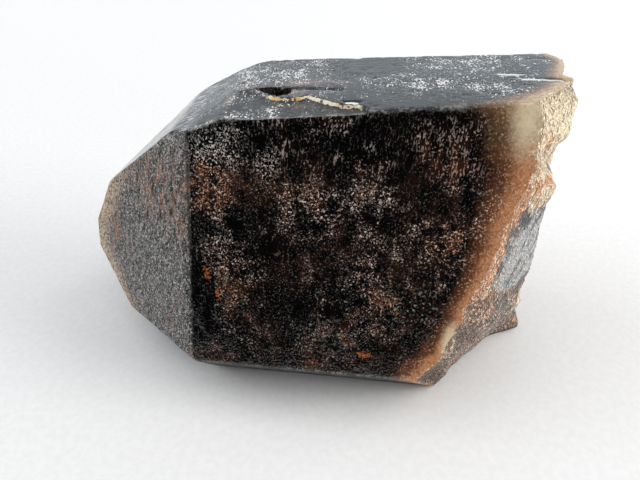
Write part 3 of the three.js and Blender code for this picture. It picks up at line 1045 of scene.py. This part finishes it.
def break_colour(f, s, c):
    """Cream and orange, earthy low down, paler at the top as a painted glow, with seams that grow
    stronger in the hollows as painted shade, painted white highlights on its grains, a streaked
    grey facet whose grey is a painted reflection, painted highlights on lit ridges and glow
    patches, and painted shade in its hollows and lowest pits."""
    warm = s.high.steps(*WARM_GOES) * s.rim.steps(-4.5, -1)
    orange = s.deep * 0.5 + (s.veins.steps(0.42, 0.66) + warm * 0.5)
    # Painted glow: less orange at the top, where the break is lit through from behind.
    orange = orange - s.high.steps(*BACKLIT_TOP_COMES) * 0.5
    orange = (orange + s.crumbs * 1.2).steps(0.7, 1.7)
    rough = f.mix(orange, c.cream_and_highlight, c.orange)
    rough = f.mix(s.rim.steps(-1.8, 0) * 0.6, rough, f.mix(s.olive, c.salmon, c.straw))

    low = (s.veins * 8 + s.high).steps(*EARTH_GOES)
    rough = f.mix(low * 0.85, rough, f.mix(s.soil.steps(0.46, 0.54), c.brown, c.clay))
    # Seams: dark lines, made stronger in the deep hollows as painted shade.
    seams = abs(s.crumbs - 0.5).steps(0.1, 0.03)
    seams = (seams * ((s.deep + low) * 0.5 + 0.4)).held()
    rough = f.mix(seams, rough, c.umber_and_shade)
    # Painted highlight: white glints on the break's grains.
    rough = f.mix(s.chaff.steps(0.6, 0.68) * (0.9 - low * 0.3), rough, c.glint_highlight)
    # Painted shade: umber in the deepest low pits.
    sunk_shade = (s.crumbs + s.deep).steps(1.05, 1.35)
    rough = f.mix(sunk_shade * (low * 0.85), rough, c.umber_and_shade)

    # The grey facet: a painted reflection, with dark streaks, and painted shade from the hollows.
    grey = f.mix((s.hollow * 0.2 + s.smears).steps(0.48, 0.64), c.facet_reflection, c.slate_and_shade)
    grey = f.mix(s.veins.steps(0.48, 0.62) * 0.45, grey, c.heather)
    facet = ((s.smears - 0.5) * 1.8 + s.facet_reflection + s.ragged).steps(0.3, 0.65)
    rough = f.mix(facet * s.chaff.steps(0.72, 0.62), rough, grey)
    # Painted highlight: pale on lit ridges and in the glow patches.
    lit = (s.crumbs + s.chaff + s.glow).steps(1.35, 2)
    rough = f.mix(lit * 0.85, rough, c.cream_and_highlight)
    # Painted shade: slate in the hollows.
    painted_shade = (s.smears * 2.6 + s.hollow).steps(1.75, 2.1)
    rough = f.mix(painted_shade * 0.85, rough, c.slate_and_shade)
    # At its foot, next to the floor, the break takes the underside's near-black colour.
    return f.mix(s.high.steps(*LIP_GOES), rough, c.lip)


def recess_colour(f, s, c, body):
    """The fresh riser of the terrace, in its own pale colour with a painted glow; splits and a
    chip's side in painted white highlight; and the cleft, cracks and step of the top painted black
    as shade.
    """
    # The fresh riser: its own pale colour, and a painted glow.
    fresh_wall_and_glow = ((s.crumbs - 0.5) * 0.7 + abs(s.terrace)).steps(0.2, 0.1)
    fresh_wall_and_glow = fresh_wall_and_glow * (s.fresh * s.gaps.steps(0.4, 0.45))
    body = f.mix(fresh_wall_and_glow, body, f.mix(s.blots.steps(0.45, 0.6), c.chip, c.gold))
    # Painted highlight: splits and a chip's side take the white frost colour.
    shine = f.most(abs(s.split).steps(0.36, 0.26), s.quad.steps(0, -0.15))
    body = f.mix(shine, body, c.frost)
    # Painted shade: the cleft, cracks and step are painted black.
    painted_shade = f.most(s.cleft.steps(0.05, -0.15), abs(s.crack).steps(0.24, 0.14))
    return f.mix(painted_shade, body, c.body)


def fine_relief(f, s):
    """Height of the finest relief: the etching, weak where a face is smooth; hills on the face at
    the tip, whose upper part also leans upwards; and crumbs on the break."""
    depth = 1 - f.most(s.calm, s.lip) * 0.85
    on_top = (s.frost + s.clouds.steps(0.45, 0.65)) * 0.3 + 0.08
    depth = f.least(depth, on_top + (1 - s.top))
    depth = depth * s.band.steps(0.1, 1.2) * s.tip_face.steps(1, 0)
    depth = depth * (s.top * 0.65 + 0.1) * (1 - s.sliver * 0.8)
    marks = (s.pits + s.curls - 1) * depth
    upper = s.high.steps(*TIP_RELIEF_COMES)
    hills = (s.hills - 0.5) * (upper * 4 + 3)
    lean = (TIP_LEAN_MIDDLE - s.high) * (upper * 1.1)
    marks = (hills + lean) * s.tip_face + marks
    return (s.crumbs + s.chaff - 1) * (s.broken * 2.5) + marks


def roughness(f, s):
    """Glassy faces, a little duller on the top and its terrace, on etching and on the break."""
    dull = s.terrace.steps(0, -0.5) * s.top
    gloss = (s.top + s.sliver) * 0.07 + 0.08
    gloss = f.most(s.etch, s.flake) * 0.3 + gloss
    gloss = (1 - s.threaded) * s.tip_face * 0.45 + gloss
    return f.most(s.broken, dull) * 0.16 + (s.lip * 0.5 + gloss)


def morion_finish(colours):
    """Black glassy quartz: rust mottling and grey etching on the faces, white frost on the top,
    amber where the crystal thins out towards the break, and a stained, rough break, with painted
    highlights, a painted reflection, and painted shade in its hollows and in the cracks of the top."""
    f = Finish("morion")
    c = SimpleNamespace(**{name: (*getattr(colours, name), 1) for name in colours.__annotations__})
    s = read_surface(f)
    find_etching(f, s)
    body = face_colour(f, s, c)
    body = top_colour(f, s, c, body)
    body = band_colour(f, s, c, body)
    body = f.mix(s.broken, body, break_colour(f, s, c))
    body = recess_colour(f, s, c, body)
    relief = {"Height": fine_relief(f, s), "Strength": 1.0, "Distance": RELIEF_HEIGHT}
    normal = f.node("ShaderNodeBump", relief).outputs["Normal"]
    return f.surface({
        "Base Color": body, "Roughness": roughness(f, s), "IOR": QUARTZ_IOR, "Normal": normal})


# ------------------------------------------------------------------------------------------
# Settings

def length(name, description, default):
    """A length in metres that a user may change."""
    return FloatProperty(name=name, description=description, default=default, min=0, precision=5,
                         subtype="DISTANCE", unit="LENGTH")


def colour(name, description, default):
    """A colour that a user may change."""
    return FloatVectorProperty(name=name, description=description, default=default, min=0, max=1,
                               subtype="COLOR", size=3)


class MorionSizes(bpy.types.PropertyGroup):
    """Relief of the crystal's skin."""

    edge_wear: length("Edge wear", "Radius of the worn edges between faces", 0.00012)
    waviness: length("Waviness", "Depth of the slow waves in the faces", 0.00007)
    growth_steps: length("Growth steps", "Depth of the growth lines across the c axis", 0.00007)
    etch_pits: length("Etch pits", "Depth of the etch pits", 0.00012)


class MorionColours(bpy.types.PropertyGroup):
    """Colours of the crystal, its stains and its break."""

    body: colour("Body", "Black smoky quartz", (0.0013, 0.0012, 0.0012))
    rust: colour("Rust", "Iron stain in the faces", (0.036, 0.015, 0.0095))
    tip_etch: colour("Tip etching", "Etch marks on the face at the tip", (0.42, 0.405, 0.395))
    # Chalk: worn edges, paler for wear and as a painted edge highlight.
    chalk_and_edge_highlight: colour("Chalk", "Worn edges between faces", (0.3, 0.29, 0.27))
    etched: colour("Etching", "Fine grey etch marks", (0.28, 0.255, 0.24))
    stained_etch: colour("Stained etching", "Etch marks where rust has settled",
                         (0.45, 0.24, 0.155))
    mist: colour("Mist", "Grey grain of the top", (0.36, 0.38, 0.42))
    fleck: colour("Flecks", "Bright grains in the etching", (0.8, 0.76, 0.72))
    stained_fleck: colour("Stained flecks", "Bright grains where rust has settled",
                          (0.8, 0.52, 0.36))
    lichen: colour("Pale beads", "Greenish beads on the front", (0.24, 0.3, 0.24))
    spot: colour("Orange spots", "Small deposits of iron oxide", (0.42, 0.12, 0.035))
    lip: colour("Lip", "Smooth grey underside", (0.01, 0.0095, 0.009))
    # Frost: white flecks, also the painted highlight on splits and a chip's side.
    frost: colour("Frost", "White flecks", (0.82, 0.82, 0.81))
    blush: colour("Blush", "Pink stain on the top", (0.3, 0.16, 0.13))
    amber: colour("Amber", "Translucent brown towards the break", (0.15, 0.055, 0.025))
    olive: colour("Olive", "Translucent brown towards the top of the break", (0.17, 0.095, 0.048))
    salmon: colour("Salmon", "Translucent orange beside the break", (0.6, 0.27, 0.13))
    spark: colour("Sparks", "Fine bright grains in the amber", (0.85, 0.55, 0.34))
    straw: colour("Straw", "Pale translucent quartz at the top of the break", (0.6, 0.42, 0.25))
    # Cream: the break's own pale quartz, also used for painted highlights.
    cream_and_highlight: colour("Cream", "Pale fresh quartz at the break", (1.0, 0.86, 0.6))
    silver: colour("Silver", "Fine growth lines beside the tip", (0.55, 0.55, 0.57))
    tan: colour("Tan", "Thin edges that light passes through", (0.68, 0.5, 0.34))
    orange: colour("Orange", "Iron stain on the break", (0.84, 0.33, 0.1))
    brown: colour("Brown", "Earthy stain low on the break", (0.06, 0.04, 0.03))
    clay: colour("Clay", "Paler earthy stain low on the break", (0.5, 0.3, 0.2))
    # Umber: dark seams, also painted shade in low pits and hollows.
    umber_and_shade: colour("Umber", "Dark seams on the break", (0.09, 0.045, 0.025))
    # Glints: painted highlights on the break.
    glint_highlight: colour("Glints", "White grains on the break", (0.95, 0.93, 0.88))
    # Grey facet: a painted reflection in the smooth fracture.
    facet_reflection: colour("Grey facet", "Grey conchoidal facet of the break", (0.46, 0.475, 0.475))
    # Dark streaks in the grey facet, also painted shade in the hollows.
    slate_and_shade: colour("Dark streaks", "Dark streaks in the grey facet", (0.05, 0.053, 0.058))
    heather: colour("Heather", "The brownish grey in the grey facet", (0.34, 0.24, 0.21))
    # Chip and gold: the fresh riser's colours, with a painted glow.
    chip: colour("Chip", "Bright edge of the chip in the top", (0.95, 0.85, 0.65))
    gold: colour("Gold", "Stained edge of the chip in the top", (0.8, 0.5, 0.2))


class MorionStage(bpy.types.PropertyGroup):
    """Floor, light and camera."""

    floor: colour("Floor", "Colour of the floor", (0.86, 0.865, 0.875))
    floor_size: length("Floor size", "Side of the square floor", 3.0)
    lens: FloatProperty(name="Lens", description="Focal length in millimetres", default=22.59,
                        min=1, unit="CAMERA")
    camera_shift: FloatProperty(name="Camera shift", description="Upward shift of the view",
                                default=0.1)


# ------------------------------------------------------------------------------------------
# Stage

CAMERA_PLACE = (46.77, -33.07, 60.86)  # mm from the crystal's low corner
CAMERA_TURN = (42.37, -1.45, 5.43)  # degrees about X, Y and Z

Softbox = namedtuple("Softbox", "name place size power tint")
SOFTBOXES = (
    Softbox("overhead_light", (0.0, 0.1, 1.8), (3.0, 3.0), 23.5, (1, 0.995, 0.985)),
    Softbox("back_light", (-0.05, 1.4, 0.55), (2.6, 1.3), 10.0, (0.86, 0.94, 1)),
    Softbox("right_light", (1.0, 0.3, 0.8), (1.0, 1.0), 7.0, (1, 0.98, 0.95)),
    Softbox("side_light", (1.2, -0.05, 0.3), (0.6, 0.5), 13.0, (1, 0.97, 0.93)),
    Softbox("left_light", (-1.2, 0.1, 0.8), (1.4, 1.0), 12.0, (0.97, 0.985, 1)),
)
WORLD_COLOUR = (0.9, 0.94, 1.0, 1.0)
WORLD_STRENGTH = 0.018
AIM = Vector((0, 0, 0.02))
FLOOR_GRAINS = 900  # in a metre
FLOOR_DIMMER = 0.96  # the floor's darker grain
SENSOR_WIDTH = 36  # mm


def add_floor(stage):
    """A flat pale floor, faintly uneven in colour."""
    half = stage.floor_size / 2
    mesh = bpy.data.meshes.new("floor")
    mesh.from_pydata([(-half, -half, 0), (half, -half, 0), (half, half, 0), (-half, half, 0)], [],
                     [(0, 1, 2, 3)])
    floor = bpy.data.objects.new("floor", mesh)
    bpy.context.scene.collection.objects.link(floor)
    f = Finish("floor")
    dim = [FLOOR_DIMMER * share for share in stage.floor]
    weave = f.grain(f.here(), FLOOR_GRAINS, 2, 0.6).steps(0.35, 0.65)
    shade = f.mix(weave, (*dim, 1), (*stage.floor, 1))
    mesh.materials.append(f.surface({"Base Color": shade, "Roughness": 0.9}))


def add_camera(stage):
    """The camera, placed from the crystal's low corner."""
    data = bpy.data.cameras.new("camera")
    data.lens = stage.lens
    data.sensor_width = SENSOR_WIDTH
    data.shift_y = stage.camera_shift
    data.clip_start, data.clip_end = 0.005, 10
    camera = bpy.data.objects.new("camera", data)
    camera.location = BOX_LOW + Vector(CAMERA_PLACE) * MM
    camera.rotation_euler = Euler([math.radians(angle) for angle in CAMERA_TURN], "XYZ")
    bpy.context.scene.collection.objects.link(camera)
    bpy.context.scene.camera = camera


def add_lights():
    """Soft boxes aimed at the crystal, and a dim even surround."""
    for box in SOFTBOXES:
        data = bpy.data.lights.new(box.name, "AREA")
        data.shape, data.size, data.size_y = "RECTANGLE", *box.size
        data.energy, data.color = box.power, box.tint
        light = bpy.data.objects.new(box.name, data)
        light.location = box.place
        light.rotation_euler = (AIM - Vector(box.place)).to_track_quat("-Z", "Y").to_euler()
        bpy.context.scene.collection.objects.link(light)
    world = bpy.data.worlds.new("surround")
    world.use_nodes = True
    background = world.node_tree.nodes["Background"]
    background.inputs["Color"].default_value = WORLD_COLOUR
    background.inputs["Strength"].default_value = WORLD_STRENGTH
    bpy.context.scene.world = world


# ------------------------------------------------------------------------------------------
# Operators

class MORION_OT_stage(bpy.types.Operator):
    """Adds the floor, the soft lights and the camera"""

    bl_idname = "morion.stage"
    bl_label = "Add Stage"

    def execute(self, context):
        stage = context.scene.morion_stage
        add_camera(stage)
        add_floor(stage)
        add_lights()
        context.scene.view_settings.view_transform = "Standard"
        return {"FINISHED"}


class MORION_OT_crystal(bpy.types.Operator):
    """Builds the crystal's surface and finish in the place of the plain solid"""

    bl_idname = "morion.crystal"
    bl_label = "Add Crystal"

    def execute(self, context):
        points, quads, triangles, values = crystal_arrays(context.scene.morion_sizes)
        piece = mesh_object("morion_crystal", place(points), quads, triangles, values)
        weld(piece)
        piece.data.materials.append(morion_finish(context.scene.morion_colours))
        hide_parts("crystal")
        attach(piece, "root")
        return {"FINISHED"}


class MORION_PT_sidebar(bpy.types.Panel):
    """Lists the pieces with their sizes and colours"""

    bl_label = "Morion Quartz"
    bl_space_type = "VIEW_3D"
    bl_region_type = "UI"
    bl_category = "Morion"

    def draw(self, context):
        rows = ((MORION_OT_crystal, "morion_sizes"), (None, "morion_colours"),
                (MORION_OT_stage, "morion_stage"))
        for operator, group_name in rows:
            box = self.layout.box()
            if operator:
                box.operator(operator.bl_idname)
            group = getattr(context.scene, group_name)
            for name in group.__annotations__:
                box.prop(group, name)


CLASSES = (MorionSizes, MorionColours, MorionStage, MORION_OT_crystal, MORION_OT_stage,
           MORION_PT_sidebar)


def register():
    """Adds the operators, the panel and their settings"""
    for cls in CLASSES:
        bpy.utils.register_class(cls)
    bpy.types.Scene.morion_sizes = PointerProperty(type=MorionSizes)
    bpy.types.Scene.morion_colours = PointerProperty(type=MorionColours)
    bpy.types.Scene.morion_stage = PointerProperty(type=MorionStage)


def unregister():
    """Takes away the settings, the panel and the operators"""
    del bpy.types.Scene.morion_stage
    del bpy.types.Scene.morion_colours
    del bpy.types.Scene.morion_sizes
    for cls in reversed(CLASSES):
        bpy.utils.unregister_class(cls)


def main():
    """Builds the stage and the crystal"""
    register()
    bpy.ops.morion.stage()
    bpy.ops.morion.crystal()


if __name__ == "__main__":
    main()
